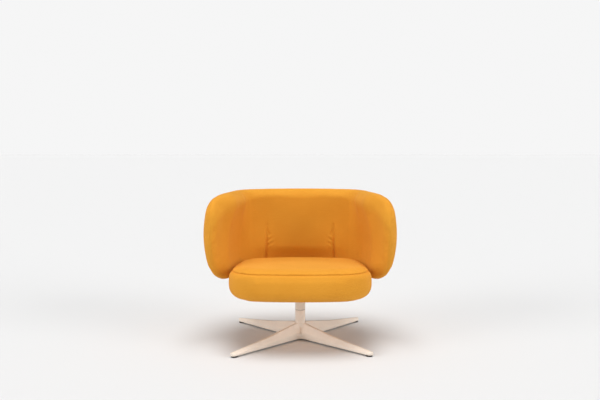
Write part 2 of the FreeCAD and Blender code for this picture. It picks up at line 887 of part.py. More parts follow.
pieces = {
    "base_star": base_star,
    "glide_feet": lambda: at_glides(glide_foot()),
    "column_tube": column_tube,
    "column_ring": column_ring,
    "lower_bush": lambda: bush(low_bush_height),
    "upper_bush": lambda: bush(thrust_low - bush_long),
    "thrust_washer": lambda: tube(thrust_radius, spindle_radius + thrust_gap, thrust_low,
                                  thrust_low + thrust_thick),
    "spindle": spindle,
    "spindle_clip": spindle_clip,
    "column_sleeve": column_sleeve,
    "plate_socket": plate_socket,
    "swivel_plate": swivel_plate,
    "plate_bolts": lambda: Part.makeCompound(at_corners(plate_bolt(), plate_pitch)),
    "plate_inserts": lambda: Part.makeCompound(at_corners(plate_insert(), plate_pitch)),
    "seat_board": seat_board,
    "seat_foam": seat_foam,
    "seat_pad": seat_pad,
    "bottom_liner": bottom_liner,
    "brackets": lambda: Part.makeCompound(for_brackets(bracket)),
    "foot_screws": lambda: Part.makeCompound(for_brackets(foot_screws)),
    "rail_screws": lambda: Part.makeCompound(for_brackets(rail_screws)),
    "lower_rail": low_rail,
    "upper_rail": lambda: rail_solid(top_rail_height, top_rail_out),
    "tub_pad": tub_pad,
}
for index, turn in enumerate(rib_turns + (None,)):
    for side, name in ((-1, "left"), (1, "right")):
        place = ("back", "corner", "arm", "front")[index]
        if turn is None:
            pieces["rib_%s_%s" % (place, name)] = lambda s=side: former_rib(s)
        else:
            pieces["rib_%s_%s" % (place, name)] = lambda t=turn, s=side: rib_solid(t, s)
for side, name in ((-1, "left"), (1, "right")):
    pieces["arm_panel_" + name] = lambda s=side: former_solid(s)

os.makedirs("parts", exist_ok=True)
for name, make in pieces.items():
    shape = make()
    shape.exportStep("parts/%s.step" % name)
    print(name, shape.ShapeType, shape.isValid(), len(shape.Solids), round(shape.Volume / 1000, 1),
          [round(x, 1) for x in (shape.BoundBox.XMin, shape.BoundBox.XMax, shape.BoundBox.YMin,
                                 shape.BoundBox.YMax, shape.BoundBox.ZMin, shape.BoundBox.ZMax)])
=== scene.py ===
import json
import math

import bmesh
import bpy
import numpy as np
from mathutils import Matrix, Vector


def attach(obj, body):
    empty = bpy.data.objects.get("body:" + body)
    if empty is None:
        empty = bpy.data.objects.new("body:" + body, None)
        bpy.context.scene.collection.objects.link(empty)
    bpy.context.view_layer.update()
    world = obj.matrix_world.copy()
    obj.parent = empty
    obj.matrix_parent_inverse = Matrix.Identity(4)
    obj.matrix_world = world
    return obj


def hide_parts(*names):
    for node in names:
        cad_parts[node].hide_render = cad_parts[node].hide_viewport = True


# Swivel tub armchair: wool upholstery over the frame, painted column and cast base. Metres.

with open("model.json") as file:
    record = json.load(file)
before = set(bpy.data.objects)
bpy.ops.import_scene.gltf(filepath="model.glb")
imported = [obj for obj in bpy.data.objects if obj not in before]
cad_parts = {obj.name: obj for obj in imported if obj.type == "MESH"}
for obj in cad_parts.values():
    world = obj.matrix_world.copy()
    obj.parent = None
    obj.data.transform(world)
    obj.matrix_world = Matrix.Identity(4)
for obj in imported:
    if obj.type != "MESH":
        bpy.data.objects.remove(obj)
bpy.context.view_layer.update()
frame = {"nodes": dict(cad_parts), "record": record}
scene = bpy.context.scene

# The tub's wall, as the frame has it
TUB_TOP = 0.735
TUB_BOTTOM = 0.307
TUB_MIDDLE = 0.555
RIM_RADIUS_BACK, RIM_RADIUS_ARM = 0.045, 0.058
HEM_RADIUS = 0.036
BACK_REACH = 0.28024
BACK_BEND, BACK_TURN = 0.735, math.radians(22)
CORNER_BEND, CORNER_TURN = 0.200, math.radians(54)
ARM_BEND, ARM_TURN = 1.100, math.radians(18)
RIM_OUT_BACK, RIM_OUT_ARM, HEM_OUT = 0.034, -0.0527, -0.050
OUTER_BOW_BACK, OUTER_BOW_ARM = 0.620, 0.363
INNER_BOW_BACK, INNER_BOW_ARM = 0.900, 0.440
ARM_SWEEP, ARM_SQUARE_HIGH, ARM_SQUARE_LOW = 0.215, 2.7, 2.07
NOSE_DEPTH = 0.060
FLARE_DEPTH, NOSE_KEEP = 0.200, 0.52      # the arm's inner side opens towards its nose
DART_PLACE, DART_TOP = 0.184, 0.545

# The seat cushion, as the frame has it, and the height of its seam
SEAT_GAP, SEAT_PRESS = 0.003, 0.006
SEAT_FRONT = 0.360
FRONT_BEND, FRONT_CORNER = 1.600, 0.168
SEAT_LOW, SEAT_WIDEST, SEAT_HIGH = 0.2455, 0.318, 0.399
SEAT_LOW_REACH, SEAT_TOP_REACH = 0.078, 0.104
SEAT_SQUARE_LOW, SEAT_SQUARE_TOP = 2.4, 4.0
SEAT_TIP = math.radians(2.1)
SEAM_HEIGHT = 0.3785


# Small tools for making meshes

def new_object(name, verts, faces, material):
    mesh = bpy.data.meshes.new(name)
    mesh.from_pydata([tuple(v) for v in verts], [], [tuple(f) for f in faces])
    mesh.validate()
    obj = bpy.data.objects.new(name, mesh)
    scene.collection.objects.link(obj)
    if material:
        mesh.materials.append(material)
    for poly in mesh.polygons:
        poly.use_smooth = True
    return obj


def face_outwards(obj):
    bm = bmesh.new()
    bm.from_mesh(obj.data)
    bmesh.ops.remove_doubles(bm, verts=bm.verts, dist=1e-7)
    bmesh.ops.recalc_face_normals(bm, faces=bm.faces)
    bm.to_mesh(obj.data)
    bm.free()


def keep_modifiers(obj):
    """Turns an object with live modifiers into a plain mesh."""
    graph = bpy.context.evaluated_depsgraph_get()
    mesh = bpy.data.meshes.new_from_object(obj.evaluated_get(graph), depsgraph=graph)
    obj.modifiers.clear()
    old = obj.data
    obj.data = mesh
    bpy.data.meshes.remove(old)


def subdivide(obj):
    modifier = obj.modifiers.new("smooth", "SUBSURF")
    modifier.levels = modifier.render_levels = 1
    keep_modifiers(obj)


WADDING_PRESSURE, COVER_SLACK, COVER_MASS = 4.0, 0.010, 0.3
SETTLING_FRAMES = 20


def plump(obj, sewn, most):
    """Fills a cover with wadding: cloth under pressure, held where it is sewn down. No point
    moves further than the last value."""
    group = obj.vertex_groups.new(name="sewn")
    group.add([int(i) for i in sewn], 1.0, "REPLACE")
    rest = np.empty(len(obj.data.vertices) * 3)
    obj.data.vertices.foreach_get("co", rest)
    cloth = obj.modifiers.new("wadding", "CLOTH")
    cloth.settings.quality = 6
    cloth.settings.mass = COVER_MASS
    cloth.settings.tension_stiffness = cloth.settings.compression_stiffness = 12
    cloth.settings.bending_stiffness = 0.4
    cloth.settings.use_pressure = True
    cloth.settings.uniform_pressure_force = WADDING_PRESSURE
    cloth.settings.shrink_min = cloth.settings.shrink_max = -COVER_SLACK
    cloth.settings.vertex_group_mass = "sewn"
    cloth.settings.effector_weights.gravity = 0
    for frame_number in range(1, SETTLING_FRAMES + 1):
        scene.frame_set(frame_number)
    graph = bpy.context.evaluated_depsgraph_get()
    shaped = np.empty_like(rest)
    obj.evaluated_get(graph).data.vertices.foreach_get("co", shaped)
    step = (shaped - rest).reshape(-1, 3)
    reach = np.linalg.norm(step, axis=1, keepdims=True)
    step *= most * np.tanh(reach / most) / np.maximum(reach, 1e-9)
    obj.modifiers.clear()
    obj.vertex_groups.clear()
    obj.data.vertices.foreach_set("co", rest + step.ravel())
    obj.data.update()
    scene.frame_set(1)


def smooth_step(x):
    x = np.clip(x, 0.0, 1.0)
    return x * x * (3 - 2 * x)


def run_along(points):
    """Distance of each point from the first, along the line that they make."""
    steps = np.linalg.norm(np.diff(points, axis=0), axis=1)
    return np.concatenate(((0.0,), np.cumsum(steps)))


# Materials

def new_material(name):
    material = bpy.data.materials.new(name)
    material.use_nodes = True
    tree = material.node_tree
    return material, tree, tree.nodes["Principled BSDF"]


def add(tree, kind, **settings):
    node = tree.nodes.new(kind)
    for key, value in settings.items():
        if key in node.inputs:
            node.inputs[key].default_value = value
        else:
            setattr(node, key, value)
    return node


def ramp(tree, source, *stops):
    node = add(tree, "ShaderNodeValToRGB")
    for i, (place, colour) in enumerate(stops):
        stop = node.color_ramp.elements[i] if i < 2 else node.color_ramp.elements.new(place)
        stop.position = place
        stop.color = (*colour, 1)
    tree.links.new(source, node.inputs["Fac"])
    return node.outputs["Color"]


def math_node(tree, operation, a, b=None):
    node = add(tree, "ShaderNodeMath", operation=operation)
    for socket, value in zip(node.inputs, (a, b)):
        if value is None:
            continue
        if isinstance(value, (int, float)):
            socket.default_value = value
        else:
            tree.links.new(value, socket)
    return node.outputs[0]


def wool_cover(name, deep, mid, light):
    """Plain-woven melange wool: crossed yarns from the piece's own UVs, with a soft nap."""
    material, tree, shader = new_material(name)
    link = tree.links.new
    uv = add(tree, "ShaderNodeUVMap", uv_map="weave").outputs["UV"]
    place = add(tree, "ShaderNodeTexCoord").outputs["Object"]
    yarns = []
    for direction in "XY":
        bands = add(tree, "ShaderNodeTexWave", wave_type="BANDS", bands_direction=direction,
                    Scale=95.0, Distortion=1.1, Detail=2.0)
        bands.inputs["Detail Scale"].default_value = 3.0
        link(uv, bands.inputs["Vector"])
        yarns.append(bands.outputs["Fac"])
    weave = math_node(tree, "MULTIPLY", *yarns)
    slub = add(tree, "ShaderNodeTexNoise", Scale=420.0, Detail=3.0, Roughness=0.6)
    link(uv, slub.inputs["Vector"])
    patch = add(tree, "ShaderNodeTexNoise", Scale=9.0, Detail=4.0, Roughness=0.55)
    link(place, patch.inputs["Vector"])
    yarn = math_node(tree, "ADD", math_node(tree, "MULTIPLY", weave, 0.45),
                     math_node(tree, "MULTIPLY", slub.outputs["Fac"], 0.55))
    heather = add(tree, "ShaderNodeTexNoise", Scale=190.0, Detail=3.0, Roughness=0.7)
    link(uv, heather.inputs["Vector"])
    shade = math_node(tree, "ADD", math_node(tree, "MULTIPLY", yarn, 0.5),
                      math_node(tree, "MULTIPLY", patch.outputs["Fac"], 0.1))
    shade = math_node(tree, "ADD", shade, math_node(tree, "MULTIPLY", heather.outputs["Fac"], 0.4))
    link(ramp(tree, shade, (0.22, deep), (0.74, light), (0.46, mid)),
         shader.inputs["Base Color"])
    shader.inputs["Roughness"].default_value = 0.92
    shader.inputs["Sheen Weight"].default_value = 0.24
    shader.inputs["Sheen Roughness"].default_value = 0.45
    shader.inputs["Sheen Tint"].default_value = (1.0, 0.62, 0.20, 1)
    shader.inputs["Specular IOR Level"].default_value = 0.15
    height = math_node(tree, "ADD", weave, math_node(tree, "MULTIPLY", slub.outputs["Fac"], 0.8))
    bump = add(tree, "ShaderNodeBump", Strength=0.35, Distance=0.0006)
    link(height, bump.inputs["Height"])
    link(bump.outputs["Normal"], shader.inputs["Normal"])
    return material


CLOUDING = 0.05      # how far a coat's tone strays to each side


def paint(name, colour, roughness, grain=900.0, grain_depth=0.00004):
    """Powder coat with fine orange peel and slightly uneven gloss."""
    material, tree, shader = new_material(name)
    link = tree.links.new
    place = add(tree, "ShaderNodeTexCoord").outputs["Object"]
    peel = add(tree, "ShaderNodeTexNoise", Scale=grain, Detail=2.0)
    cloud = add(tree, "ShaderNodeTexNoise", Scale=14.0, Detail=5.0, Roughness=0.6)
    link(place, peel.inputs["Vector"])
    link(place, cloud.inputs["Vector"])
    darker = tuple(c * (1 - CLOUDING) for c in colour)
    lighter = tuple(min(1.0, c * (1 + CLOUDING)) for c in colour)
    link(ramp(tree, cloud.outputs["Fac"], (0.3, darker), (0.7, lighter)),
         shader.inputs["Base Color"])
    gloss = add(tree, "ShaderNodeMapRange")
    gloss.inputs["To Min"].default_value = roughness - 0.05
    gloss.inputs["To Max"].default_value = roughness + 0.08
    link(cloud.outputs["Fac"], gloss.inputs["Value"])
    link(gloss.outputs["Result"], shader.inputs["Roughness"])
    bump = add(tree, "ShaderNodeBump", Strength=0.4, Distance=grain_depth)
    link(peel.outputs["Fac"], bump.inputs["Height"])
    link(bump.outputs["Normal"], shader.inputs["Normal"])
    return material


def brushed(name, colour, roughness):
    """Drawn steel, with fine lines round it."""
    material, tree, shader = new_material(name)
    link = tree.links.new
    place = add(tree, "ShaderNodeTexCoord").outputs["Object"]
    lines = add(tree, "ShaderNodeMapping")
    lines.inputs["Scale"].default_value = (60, 60, 1500)
    link(place, lines.inputs["Vector"])
    noise = add(tree, "ShaderNodeTexNoise", Scale=1.0, Detail=3.0)
    link(lines.outputs["Vector"], noise.inputs["Vector"])
    link(ramp(tree, noise.outputs["Fac"], (0.3, tuple(c * 0.85 for c in colour)), (0.7, colour)),
         shader.inputs["Base Color"])
    shader.inputs["Metallic"].default_value = 1.0
    shader.inputs["Roughness"].default_value = roughness
    return material


def plywood(name):
    """Sanded birch with a long grain."""
    material, tree, shader = new_material(name)
    link = tree.links.new
    place = add(tree, "ShaderNodeTexCoord").outputs["Object"]
    stretch = add(tree, "ShaderNodeMapping")
    stretch.inputs["Scale"].default_value = (4, 40, 260)
    link(place, stretch.inputs["Vector"])
    grain = add(tree, "ShaderNodeTexNoise", Scale=1.6, Detail=6.0, Distortion=0.8)
    link(stretch.outputs["Vector"], grain.inputs["Vector"])
    link(ramp(tree, grain.outputs["Fac"], (0.3, (0.42, 0.26, 0.13)), (0.68, (0.72, 0.54, 0.34))),
         shader.inputs["Base Color"])
    shader.inputs["Roughness"].default_value = 0.7
    return material


def lining(name):
    """Thin pressed felt, as it closes a chair from below."""
    material, tree, shader = new_material(name)
    link = tree.links.new
    place = add(tree, "ShaderNodeTexCoord").outputs["Object"]
    mesh = add(tree, "ShaderNodeTexVoronoi", Scale=700.0)
    link(place, mesh.inputs["Vector"])
    link(ramp(tree, mesh.outputs["Distance"], (0.1, (0.012, 0.012, 0.013)),
              (0.8, (0.035, 0.035, 0.038))), shader.inputs["Base Color"])
    shader.inputs["Roughness"].default_value = 0.95
    bump = add(tree, "ShaderNodeBump", Strength=0.5, Distance=0.0004)
    link(mesh.outputs["Distance"], bump.inputs["Height"])
    link(bump.outputs["Normal"], shader.inputs["Normal"])
    return material


mustard_wool = wool_cover("mustard_wool", (0.48, 0.160, 0.009), (0.72, 0.305, 0.027),
                          (0.86, 0.45, 0.075))
cream_paint = paint("cream_paint", (0.84, 0.74, 0.64), 0.42)
dark_nylon = paint("dark_nylon", (0.035, 0.026, 0.022), 0.55, grain=1500.0)
pale_acetal = paint("pale_acetal", (0.80, 0.80, 0.77), 0.4)
black_steel = paint("black_steel", (0.02, 0.02, 0.02), 0.45)
bright_steel = brushed("bright_steel", (0.60, 0.60, 0.61), 0.35)
birch_ply = plywood("birch_ply")
cut_foam = paint("cut_foam", (0.86, 0.80, 0.62), 0.95, grain=1200.0, grain_depth=0.0004)
black_lining = lining("black_lining")


# Plan path of the tub's wall, from the middle of the back to the arm's nose

def walk(start, heading, radius, turn):
    """Where an arc ends that leaves a point with a heading and turns to the left."""
    return (start[0] + radius * (math.sin(heading + turn) - math.sin(heading)),
            start[1] - radius * (math.cos(heading + turn) - math.cos(heading)))


def centre_of(start, heading, radius):
    return (start[0] - radius * math.sin(heading), start[1] + radius * math.cos(heading))


BENT = BACK_TURN + CORNER_TURN
BACK_START = (0.0, BACK_REACH)
CORNER_START = walk(BACK_START, math.pi, BACK_BEND, BACK_TURN)
ARM_START = walk(CORNER_START, math.pi + BACK_TURN, CORNER_BEND, CORNER_TURN)
BENDS = ((centre_of(BACK_START, math.pi, BACK_BEND), BACK_BEND),
         (centre_of(CORNER_START, math.pi + BACK_TURN, CORNER_BEND), CORNER_BEND),
         (centre_of(ARM_START, math.pi + BENT, ARM_BEND), ARM_BEND))
BACK_LENGTH = BACK_TURN * BACK_BEND
CORNER_LENGTH = CORNER_TURN * CORNER_BEND
HALF_LENGTH = BACK_LENGTH + CORNER_LENGTH + ARM_TURN * ARM_BEND


def turn_at(length):
    """How far the path has turned at a distance from the middle of the back."""
    if length <= BACK_LENGTH:
        return length / BACK_BEND
    if length <= BACK_LENGTH + CORNER_LENGTH:
        return BACK_TURN + (length - BACK_LENGTH) / CORNER_BEND
    return BENT + (length - BACK_LENGTH - CORNER_LENGTH) / ARM_BEND


def on_path(turn, side, out):
    """Plan point at a distance out of the path; out may be an array."""
    (cx, cy), radius = BENDS[0 if turn <= BACK_TURN else 1 if turn <= BENT else 2]
    return (side * (-cx + math.sin(turn) * (radius + out)), cy + math.cos(turn) * (radius + out))


def apex(a, reach_a, b, reach_b):
    """The inward point that lies at given distances from two others."""
    span = b - a
    gap = np.linalg.norm(span)
    along = (reach_a ** 2 - reach_b ** 2 + gap ** 2) / (2 * gap)
    aside = math.sqrt(max(reach_a ** 2 - along ** 2, 0.0))
    unit = span / gap
    inward = np.array((-unit[1], unit[0]))
    if inward[0] > 0:
        inward = -inward
    return a + unit * along + inward * aside


def arc_points(centre, radius, start, end, count):
    """Points along an arc, turning the short way from the direction of start to that of end."""
    a = math.atan2(start[1], start[0])
    b = math.atan2(end[1], end[0])
    while b - a > math.pi:
        b -= 2 * math.pi
    while b - a < -math.pi:
        b += 2 * math.pi
    angles = a + (b - a) * np.arange(count) / count
    return np.stack((centre[0] + radius * np.cos(angles), centre[1] + radius * np.sin(angles)), 1)


# Rows of points round the section: the outer face first, then the rim, the inner face, the hem
OUTER_ROWS, ROLL_ROWS, INNER_ROWS, HEM_ROWS = 20, 6, 46, 5
CREST_ROW = OUTER_ROWS + ROLL_ROWS
INNER_ROW = CREST_ROW + ROLL_ROWS
KEEL_ROW = INNER_ROW + INNER_ROWS + HEM_ROWS
SECTION_ROWS = KEEL_ROW + HEM_ROWS


def round_off(from_nose, depth, square=2.0):
    """Height of a rounded end, as a share, at a distance from its tip."""
    share = max(0.0, 1 - from_nose / depth)
    return (1 - share ** square) ** (1 / square)


def wall_section(turn, from_nose):
    """The wall's section as (outward, height) rows: outer face, rim, inner face and hem."""
    share = float(smooth_step(turn / BENT))

    def mix(a, b, part=share):
        return a + (b - a) * part

    thin = round_off(from_nose, NOSE_DEPTH)
    high = round_off(from_nose, ARM_SWEEP, ARM_SQUARE_HIGH)
    low = round_off(from_nose, ARM_SWEEP, ARM_SQUARE_LOW)
    roll, low_roll = mix(RIM_RADIUS_BACK, RIM_RADIUS_ARM) * thin, HEM_RADIUS * thin
    rim = np.array((mix(RIM_OUT_BACK, RIM_OUT_ARM) * high, mix(TUB_MIDDLE, TUB_TOP, high) - roll))
    hem = np.array((HEM_OUT * low, mix(TUB_MIDDLE, TUB_BOTTOM, low) + low_roll))
    outer, inner = mix(OUTER_BOW_BACK, OUTER_BOW_ARM), mix(INNER_BOW_BACK, INNER_BOW_ARM)
    out_eye = apex(rim, outer - roll, hem, outer - low_roll)
    in_eye = apex(rim, inner + roll, hem, inner + low_roll)
    up, down = np.array((0.0, 1.0)), np.array((0.0, -1.0))
    return np.concatenate((
        arc_points(out_eye, outer, hem - out_eye, rim - out_eye, OUTER_ROWS),
        arc_points(rim, roll, rim - out_eye, up, ROLL_ROWS),
        arc_points(rim, roll, up, in_eye - rim, ROLL_ROWS),
        arc_points(in_eye, inner, rim - in_eye, hem - in_eye, INNER_ROWS),
        arc_points(hem, low_roll, in_eye - hem, down, HEM_ROWS),
        arc_points(hem, low_roll, down, hem - out_eye, HEM_ROWS)))


def tub_columns():
    """Distances along half the wall, closer at the darts and towards the nose."""
    before, after = DART_PLACE - 0.045, DART_PLACE + 0.035
    marks = [np.linspace(0.0, before, 14, endpoint=False),
             np.linspace(before, after, 28, endpoint=False),
             np.linspace(after, HALF_LENGTH - NOSE_DEPTH, 56)]
    angles = np.radians(np.linspace(0.0, 88.6, 16)[1:])
    return np.concatenate(marks + [HALF_LENGTH - NOSE_DEPTH * (1 - np.sin(angles))])


def tub_grid():
    """Rings of points from the left nose round the back to the right nose."""
    half = tub_columns()
    rings = []
    for place in np.concatenate((-half[:0:-1], half)):
        turn = turn_at(abs(place))
        from_nose = HALF_LENGTH - abs(place)
        section = wall_section(turn, from_nose)
        keep = NOSE_KEEP + (1 - NOSE_KEEP) * smooth_step(from_nose / FLARE_DEPTH)
        outermost = section[:, 0].max()
        section[:, 0] = outermost - (outermost - section[:, 0]) * keep
        x, y = on_path(turn, 1 if place >= 0 else -1, section[:, 0])
        rings.append(np.stack((x, y, section[:, 1]), 1))
    return np.array(rings)


def grid_faces(count, rows):
    """Quads of a closed tube of rings, with a fan of triangles at each end."""
    faces = []
    for i in range(count - 1):
        for j in range(rows):
            k = (j + 1) % rows
            faces.append((i * rows + j, i * rows + k, (i + 1) * rows + k, (i + 1) * rows + j))
    first, last = count * rows, count * rows + 1
    for j in range(rows):
        k = (j + 1) % rows
        faces.append((first, k, j))
        faces.append((last, (count - 1) * rows + j, (count - 1) * rows + k))
    return faces


def tub_weave(grid):
    """Cloth coordinates in metres: along the wall, and up from the seam under the hem, for the
    outer and the inner cover, which meet again in the seam along the rim."""
    count, rows = grid.shape[:2]
    plan = np.linalg.norm(np.diff(grid[..., :2], axis=0), axis=2)
    along = np.concatenate((np.zeros((1, rows)), np.cumsum(plan, axis=0)))
    along -= along[count // 2]
    middle = grid[count // 2]
    covers = {"outer": (*range(KEEL_ROW, rows), *range(CREST_ROW + 1)),
              "inner": (*range(KEEL_ROW, CREST_ROW - 1, -1),)}
    ups = {}
    for name, order in covers.items():
        upwards = middle[list(order)]
        ups[name] = np.interp(grid[..., 2], upwards[:, 2], run_along(upwards))
    return along, ups


def lay_tub_weave(obj, grid):
    """Lays the cloth on the tub. The two tips take the coordinates of the ring beside them."""
    count, rows = grid.shape[:2]
    along, ups = tub_weave(grid)
    layer = obj.data.uv_layers.new(name="weave")
    uvs = np.zeros((len(obj.data.loops), 2))
    for poly in obj.data.polygons:
        ids = [obj.data.loops[i].vertex_index for i in poly.loop_indices]
        face_rows = [v % rows for v in ids if v < count * rows]
        wraps = max(face_rows) - min(face_rows) > rows / 2
        inner = not wraps and CREST_ROW <= min(face_rows) < KEEL_ROW
        up = ups["inner" if inner else "outer"]
        for i, v in zip(poly.loop_indices, ids):
            ring, row = divmod(v, rows)
            if ring >= count:
                ring, row = (0 if v == count * rows else count - 1), face_rows[0]
            uvs[i] = (along[ring, row], up[ring, row])
    layer.data.foreach_set("uv", uvs.ravel())


DART_FADE, DART_DEPTH, DART_WIDTH = 0.13, 0.0075, 0.0060
LIP_RISE, LIP_AWAY, LIP_WIDTH = 0.0035, 0.020, 0.016
PUCKER_RISE, PUCKER_PITCH, PUCKER_SLANT = 0.0030, 0.0255, 0.6
PUCKER_AWAY, PUCKER_REACH = 0.018, 0.016
PUCKER_LOW, PUCKER_HIGH, PUCKER_FADE = 0.41, 0.505, 0.03
SWELL_RISE, SWELL_HEIGHT, SWELL_SPREAD, SWELL_WIDTH = 0.024, 0.45, 0.14, 0.25
TUCK_LOW, TUCK_FADE = 0.345, 0.085
SEAM_SINK, SEAM_LIP = 0.0022, 0.0008


def shape_tub(grid):
    """Sewn darts with their puckers, the swell of the back and the sunk seams."""
    across = np.roll(grid, -1, 1) - np.roll(grid, 1, 1)
    along = np.gradient(grid, axis=0)
    normal = np.cross(across, along)
    normal /= np.maximum(np.linalg.norm(normal, axis=2, keepdims=True), 1e-9)
    x, z = grid[..., 0], grid[..., 2]
    row = np.arange(grid.shape[1])[None, :]
    inside = ((row > INNER_ROW - 2) & (row < INNER_ROW + INNER_ROWS + 2)) & (grid[..., 1] > 0.0)
    depth = np.zeros(x.shape)
    reach = smooth_step((DART_TOP - z) / DART_FADE)
    for side in (-1, 1):
        off = side * x - DART_PLACE
        depth -= DART_DEPTH * reach * np.exp(-(off / DART_WIDTH) ** 2)
        depth += LIP_RISE * reach * np.exp(-((np.abs(off) - LIP_AWAY) / LIP_WIDTH) ** 2)
        fan = np.exp(-((off + PUCKER_AWAY) / PUCKER_REACH) ** 2) * (off < 0.0)
        span = (smooth_step((z - PUCKER_LOW) / PUCKER_FADE)
                * smooth_step((PUCKER_HIGH - z) / PUCKER_FADE))
        folds = np.sin((z + PUCKER_SLANT * off) * 2 * math.pi / PUCKER_PITCH)
        depth += PUCKER_RISE * fan * span * folds
    # the padding swells at the small of the back and tucks in again above the seat
    swell = np.exp(-((z - SWELL_HEIGHT) / SWELL_SPREAD) ** 2)
    swell *= smooth_step((z - TUCK_LOW) / TUCK_FADE)
    depth += SWELL_RISE * swell * np.exp(-(x / SWELL_WIDTH) ** 4)
    depth *= inside
    for seam in (CREST_ROW, KEEL_ROW):
        away = np.abs(row - seam)
        depth -= SEAM_SINK * (away == 0) - SEAM_LIP * (away == 2)
    return grid + normal * depth[..., None]


TUB_FILL_MOST, SEAT_FILL_MOST = 0.0035, 0.004


def tub_cover():
    """The wall's cover: sewn along the rim, under the hem and down the darts, then filled."""
    grid = tub_grid()
    shaped = shape_tub(grid)
    count, rows = grid.shape[:2]
    tips = [ring.mean(0) for ring in (shaped[0], shaped[-1])]
    obj = new_object("tub_cover", np.concatenate((shaped.reshape(-1, 3), tips)),
                     grid_faces(count, rows), mustard_wool)
    lay_tub_weave(obj, grid)
    face_outwards(obj)
    co = grid.reshape(-1, 3)
    row = np.arange(len(co)) % rows
    dart = (np.abs(np.abs(co[:, 0]) - DART_PLACE) < 0.004) & (co[:, 2] < DART_TOP) & (co[:, 1] > 0)
    sewn = (row == CREST_ROW) | (row == KEEL_ROW) | (dart & (row > INNER_ROW) & (row < KEEL_ROW))
    plump(obj, np.nonzero(sewn)[0], TUB_FILL_MOST)
    subdivide(obj)
    return obj


# Seat cushion: an outline of arcs that follows the tub's hem, closed by the front

SEAT_OUT = HEM_OUT - HEM_RADIUS - SEAT_GAP
FRONT_EYE = np.array((0.0, -SEAT_FRONT + FRONT_BEND))


def corner_eye(turn):
    """Centre of the front corner's bend, where the side ends after this turn."""
    return np.array(on_path(turn, 1, SEAT_OUT - FRONT_CORNER))


def find_corner():
    """Turn of the path at which the front corner runs smoothly into the front."""
    low, high = BENT, BENT + ARM_TURN
    for _ in range(60):
        turn = 0.5 * (low + high)
        if np.linalg.norm(corner_eye(turn) - FRONT_EYE) > FRONT_BEND - FRONT_CORNER:
            high = turn
        else:
            low = turn
    return 0.5 * (low + high)


SIDE_END = find_corner()
CORNER_EYE = corner_eye(SIDE_END)
TO_FRONT = math.atan2(*(CORNER_EYE - FRONT_EYE)[::-1])
HELD_SIDES = tuple(zip(BENDS, (0.0, BACK_TURN, BENT), (BACK_TURN, BENT, SIDE_END)))
PRESS_START, PRESS_FADE = -0.13, 0.10
ARC_POINTS = 400


def seat_outline(count):
    """Points right round the cushion, evenly spaced from the back, their outward directions
    and the length of the whole line."""
    pieces = []
    for ((cx, cy), radius), a, b in HELD_SIDES:
        turns = np.linspace(a, b, ARC_POINTS)
        normal = np.stack((np.sin(turns), np.cos(turns)), 1)
        pieces.append((np.array((-cx, cy)) + normal * (radius + SEAT_OUT), normal))
    for centre, radius, a, b in ((CORNER_EYE, FRONT_CORNER, math.pi / 2 - SIDE_END, TO_FRONT),
                                 (FRONT_EYE, FRONT_BEND, TO_FRONT, -math.pi / 2)):
        angles = np.linspace(a, b, ARC_POINTS)
        normal = np.stack((np.cos(angles), np.sin(angles)), 1)
        pieces.append((centre + normal * radius, normal))
    points = np.concatenate([p for p, _ in pieces])
    normals = np.concatenate([n for _, n in pieces])
    flip = np.array((-1.0, 1.0))
    points = np.concatenate((points, (points * flip)[::-1]))
    normals = np.concatenate((normals, (normals * flip)[::-1]))
    closed = np.concatenate((points, points[:1]))
    closed_normals = np.concatenate((normals, normals[:1]))
    run = run_along(closed)
    wanted = np.linspace(0.0, run[-1], count, endpoint=False)
    out = np.stack([np.interp(wanted, run, closed[:, i]) for i in (0, 1)], 1)
    facing = np.stack([np.interp(wanted, run, closed_normals[:, i]) for i in (0, 1)], 1)
    facing /= np.linalg.norm(facing, axis=1, keepdims=True)
    # the cushion presses into the wall wherever the wall holds it
    out += facing * (SEAT_PRESS * smooth_step((out[:, 1:] - PRESS_START) / PRESS_FADE))
    return out, facing, run[-1]


LOW_RINGS, TOP_RINGS = 16, 26
GROOVE_DEPTH, GROOVE_WIDTH = 0.0090, 0.0026
BULGE_RISE, BULGE_AWAY, BULGE_WIDTH = 0.0014, 0.009, 0.006


def seat_profile():
    """(distance in, height) from the edge of the underside round to the edge of the crown, and
    the row of the sunk seam."""
    profile = []
    for top, count in ((False, LOW_RINGS), (True, TOP_RINGS)):
        high, reach, square = ((SEAT_HIGH, SEAT_TOP_REACH, SEAT_SQUARE_TOP) if top
                               else (SEAT_LOW, SEAT_LOW_REACH, SEAT_SQUARE_LOW))
        angles = np.radians(np.linspace(0, 90, count + 1))
        inset = reach * (1 - np.maximum(np.cos(angles), 0.0) ** (2 / square))
        height = SEAT_WIDEST + (high - SEAT_WIDEST) * np.sin(angles) ** (2 / square)
        points = np.stack((inset, height), 1)
        profile += list(points[1:] if top else points[::-1])
    profile = np.array(profile)
    run = run_along(profile)
    seam = np.interp(SEAM_HEIGHT, profile[:, 1], run)
    rows = np.concatenate((np.linspace(0, seam - 0.007, 20, endpoint=False),
                           seam + np.array((-0.007, -0.004, -0.0018, 0.0, 0.0018, 0.004)),
                           np.linspace(seam + 0.007, run[-1], 15)))
    profile = np.stack([np.interp(rows, run, profile[:, i]) for i in (0, 1)], 1)
    away = np.abs(rows - seam)
    groove = GROOVE_DEPTH * np.exp(-(away / GROOVE_WIDTH) ** 2)
    bulge = BULGE_RISE * np.exp(-((away - BULGE_AWAY) / BULGE_WIDTH) ** 2)
    profile[:, 0] += groove - bulge
    return profile, int(np.argmin(away))


def tipped(points):
    """The cushion leans back: each level tips about the front with its height."""
    share = np.clip((points[..., 2] - SEAT_LOW) / (SEAT_HIGH - SEAT_LOW), 0, 1)
    back = points[..., 1] + SEAT_FRONT
    out = points.copy()
    out[..., 2] -= back * np.sin(SEAT_TIP * share)
    return out


